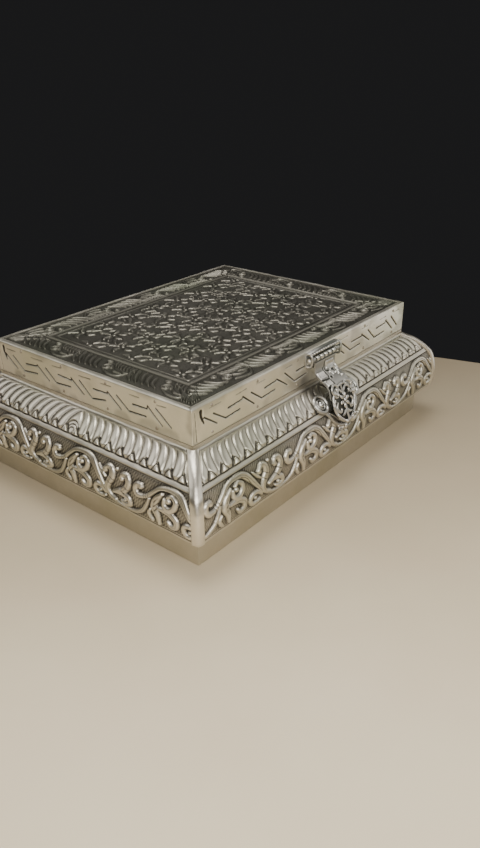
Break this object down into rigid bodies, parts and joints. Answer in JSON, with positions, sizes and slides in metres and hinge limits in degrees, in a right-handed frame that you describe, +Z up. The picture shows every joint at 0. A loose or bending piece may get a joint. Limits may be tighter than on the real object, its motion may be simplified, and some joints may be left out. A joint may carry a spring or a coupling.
{
  "type": "vanity trinket box",
  "caption": "Rectangular lidded trinket box with bulged embossed metal-clad sides, a recessed plinth, a back-hinged lid and a hinged hasp.",
  "frame": {"origin": "middle of the felt underside, on the surface that the box stands on", "axes": "+X along the long side, to the right seen from the clasp; -Y towards the clasp; +Z up"},
  "size_m": [0.2406, 0.1921, 0.078],
  "materials": {
    "embossed_metal": "thin embossed white metal, warm silver, darkened in the recesses",
    "oxidised_metal": "chased white metal with a dark oxidised ground and rubbed raised lines",
    "polished_metal": "polished thin white metal",
    "clasp_metal": "cast white metal, bright with dark recesses",
    "hinge_metal": "satin plated steel",
    "nails": "dull small nail heads",
    "wood": "plain sanded hardwood and board",
    "velvet": "short-pile dark red velvet",
    "felt": "black felt"
  },
  "bodies": {
    "box": {"base_board": "wood", "base_felt": "felt", "clasp_nails": "clasp_metal", "clasp_plate": "clasp_metal", "clasp_staple": "clasp_metal", "corner_strap_back_left": "polished_metal", "corner_strap_back_right": "polished_metal", "corner_strap_front_left": "polished_metal", "corner_strap_front_right": "polished_metal", "hinge_leaf_box_left": "hinge_metal", "hinge_leaf_box_right": "hinge_metal", "hinge_pin_left": "hinge_metal", "hinge_pin_right": "hinge_metal", "hinge_screws_box_left": "hinge_metal", "hinge_screws_box_right": "hinge_metal", "lining_back": "velvet", "lining_floor": "velvet", "lining_front": "velvet", "lining_left": "velvet", "lining_right": "velvet", "moulding_back": "wood", "moulding_front": "wood", "moulding_left": "wood", "moulding_right": "wood", "plinth_band": "embossed_metal", "plinth_rail_back": "wood", "plinth_rail_front": "wood", "plinth_rail_left": "wood", "plinth_rail_right": "wood", "rim_sheet": "embossed_metal", "side_sheet_back": "embossed_metal", "side_sheet_front": "embossed_metal", "side_sheet_left": "embossed_metal", "side_sheet_right": "embossed_metal", "wall_back": "wood", "wall_front": "wood", "wall_left": "wood", "wall_right": "wood"},
    "lid": {"clasp_bracket": "clasp_metal", "clasp_pin": "clasp_metal", "hinge_leaf_lid_left": "hinge_metal", "hinge_leaf_lid_right": "hinge_metal", "hinge_screws_lid_left": "hinge_metal", "hinge_screws_lid_right": "hinge_metal", "lid_board": "wood", "lid_nails": "nails", "lid_pad": "velvet", "lid_side_back": "embossed_metal", "lid_side_front": "embossed_metal", "lid_side_left": "embossed_metal", "lid_side_right": "embossed_metal", "lid_top_sheet": "oxidised_metal"},
    "hasp": {"hasp_leaf": "clasp_metal", "hasp_medallion": "clasp_metal"}
  },
  "joints": [
    {"name": "lid_hinge", "type": "hinge", "parent": "box", "child": "lid", "pos_m": [0, 0.0783, 0.059], "axis": [-1, 0, 0], "range_deg": [0, 138]},
    {"name": "hasp_hinge", "type": "hinge", "parent": "lid", "child": "hasp", "pos_m": [0.0045, -0.079, 0.0732], "axis": [-1, 0, 0], "range_deg": [0, 125]}
  ]
}
